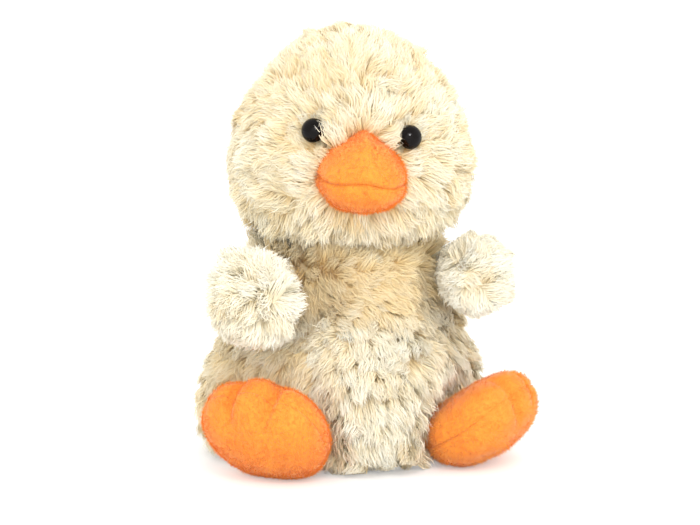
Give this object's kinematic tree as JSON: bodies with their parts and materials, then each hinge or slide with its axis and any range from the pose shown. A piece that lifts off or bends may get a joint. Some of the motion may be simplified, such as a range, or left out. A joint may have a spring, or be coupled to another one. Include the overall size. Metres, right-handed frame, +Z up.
{
  "type": "plush duckling",
  "caption": "Small sitting plush duckling with shaggy cream pile, soft orange beak and feet, bead eyes, stub wings and a weighted seat.",
  "frame": {"origin": "middle of the flat seat, on the surface that the duck sits on", "axes": "+Z up, -Y the way the body faces, +X towards the duck's own left"},
  "size_m": [0.1168, 0.114, 0.1475],
  "materials": {
    "cream_pile": "matte",
    "orange_plush": "matte",
    "white_wadding": "matte",
    "bag_cotton": "matte",
    "eye_gloss": "gloss",
    "washer_plastic": "satin"
  },
  "bodies": {
    "torso": {"torso_front_panel": "cream_pile", "torso_back_left": "cream_pile", "torso_back_right": "cream_pile", "torso_base": "cream_pile", "torso_stuffing": "white_wadding", "pellet_bag": "bag_cotton", "tail_upper": "cream_pile", "tail_lower": "cream_pile"},
    "neck": {"neck_stuffing": "white_wadding"},
    "head": {"head_centre_gusset": "cream_pile", "head_side_left": "cream_pile", "head_side_right": "cream_pile", "head_stuffing": "white_wadding", "left_eye": "eye_gloss", "right_eye": "eye_gloss", "left_eye_washer": "washer_plastic", "right_eye_washer": "washer_plastic", "beak_upper": "orange_plush", "beak_lower": "orange_plush", "beak_stuffing": "white_wadding"},
    "left_wing": {"left_wing_outer": "cream_pile", "left_wing_inner": "cream_pile", "left_wing_stuffing": "white_wadding"},
    "right_wing": {"right_wing_outer": "cream_pile", "right_wing_inner": "cream_pile", "right_wing_stuffing": "white_wadding"},
    "left_foot": {"left_foot_upper": "orange_plush", "left_foot_sole": "orange_plush", "left_foot_stuffing": "white_wadding"},
    "right_foot": {"right_foot_upper": "orange_plush", "right_foot_sole": "orange_plush", "right_foot_stuffing": "white_wadding"}
  },
  "joints": [
    {"name": "head_turn", "type": "hinge", "parent": "torso", "child": "neck", "pos_m": [0.0018, 0, 0.079], "axis": [0, 0, 1], "range_deg": [-25, 25], "stiffness_Nm_per_rad": 0.1},
    {"name": "head_nod", "type": "hinge", "parent": "neck", "child": "head", "pos_m": [0.0018, 0, 0.079], "axis": [0.9781, -0.2079, 0], "range_deg": [-8, 8], "stiffness_Nm_per_rad": 0.15},
    {"name": "left_wing_lift", "type": "hinge", "parent": "torso", "child": "left_wing", "pos_m": [0.03918, -0.01005, 0.063], "axis": [-0.9925, 0.1219, 0], "range_deg": [-8, 16], "stiffness_Nm_per_rad": 0.02},
    {"name": "right_wing_lift", "type": "hinge", "parent": "torso", "child": "right_wing", "pos_m": [-0.03918, -0.01005, 0.063], "axis": [-0.9925, 0.1219, 0], "range_deg": [-8, 28], "stiffness_Nm_per_rad": 0.02},
    {"name": "left_foot_lift", "type": "hinge", "parent": "torso", "child": "left_foot", "pos_m": [0.03025, -0.02772, 0.00945], "axis": [-0.6756, -0.7373, 0], "range_deg": [-12, 12], "stiffness_Nm_per_rad": 0.04},
    {"name": "right_foot_lift", "type": "hinge", "parent": "torso", "child": "right_foot", "pos_m": [-0.03108, -0.02848, 0.00889], "axis": [-0.6756, 0.7373, 0], "range_deg": [-12, 12], "stiffness_Nm_per_rad": 0.04}
  ]
}
